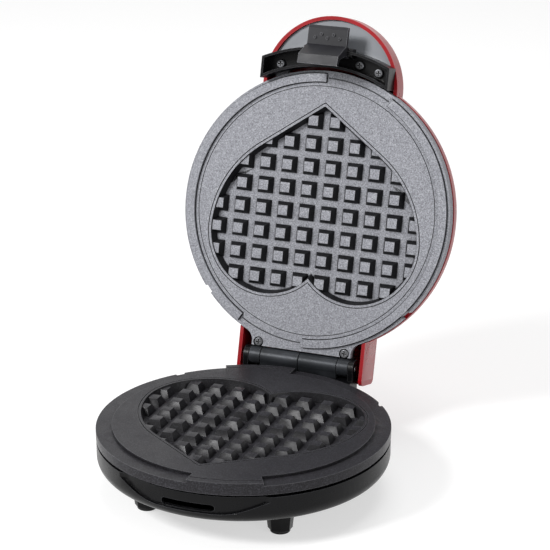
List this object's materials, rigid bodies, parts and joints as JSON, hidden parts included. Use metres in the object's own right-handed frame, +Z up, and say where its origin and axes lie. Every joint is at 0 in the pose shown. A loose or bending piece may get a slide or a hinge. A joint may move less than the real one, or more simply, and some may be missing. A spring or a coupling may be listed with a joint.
{
  "type": "heart waffle maker",
  "caption": "Round countertop waffle maker with a hinged red lid, heart-shaped moulds with square studs, front latch, round handle and legs",
  "frame": {"origin": "middle of the whole part's box at the level of the feet, lid standing open", "axes": "+Z up, +Y from the front of the base towards the hinge and the open lid, +X to the right"},
  "size_m": [0.1852, 0.2722, 0.2654],
  "materials": {
    "red_gloss": "glossy red, moulded",
    "black_housing": "satin black, moulded",
    "black_lever": "satin black, moulded",
    "black_hinge": "satin black coat",
    "lower_coating": "dark non-stick coating",
    "upper_coating": "speckled grey non-stick coating",
    "grey_liner": "satin grey",
    "black_rubber": "matt",
    "zinc_screw": "dark zinc",
    "steel_pin": "ground steel",
    "element_sheath": "oxidised sheath",
    "bare_sheet": "aluminised sheet",
    "ceramic_block": "pale moulded block",
    "lead_sleeve": "woven sleeve",
    "red_lens": "clear red",
    "green_lens": "clear green"
  },
  "bodies": {
    "base": {"base_housing": "black_housing", "lower_plate": "lower_coating", "rubber_feet": "black_rubber", "lower_plate_screws": "zinc_screw", "lower_element": "element_sheath", "lower_element_straps": "bare_sheet", "lower_reflector": "bare_sheet", "hinge_barrel_left": "black_hinge", "hinge_barrel_right": "black_hinge", "hinge_pin": "steel_pin", "cord_gland": "black_rubber", "terminal_block": "ceramic_block", "element_leads": "lead_sleeve", "thermostat": "bare_sheet", "thermal_fuse": "bare_sheet"},
    "lid": {"lid_shell": "red_gloss", "upper_plate": "upper_coating", "upper_element": "element_sheath", "upper_element_straps": "bare_sheet", "upper_reflector": "bare_sheet", "upper_plate_screws": "zinc_screw", "hinge_arm_left": "black_hinge", "hinge_arm_right": "black_hinge", "hinge_screws": "zinc_screw", "power_lens": "red_lens", "ready_lens": "green_lens", "lamp_holder": "black_housing", "handle_liner": "grey_liner", "latch_bracket": "black_housing", "bracket_screws": "zinc_screw", "latch_pin": "steel_pin"},
    "latch": {"latch_lever": "black_lever"}
  },
  "joints": [
    {"name": "lid_hinge", "type": "hinge", "parent": "base", "child": "lid", "pos_m": [0, 0.05548, 0.0471], "axis": [-1, 0, 0], "range_deg": [-105.8, 0]},
    {"name": "latch_pivot", "type": "hinge", "parent": "lid", "child": "latch", "pos_m": [0, 0.10566, 0.24501], "axis": [1, 0, 0], "range_deg": [0, 24]}
  ]
}
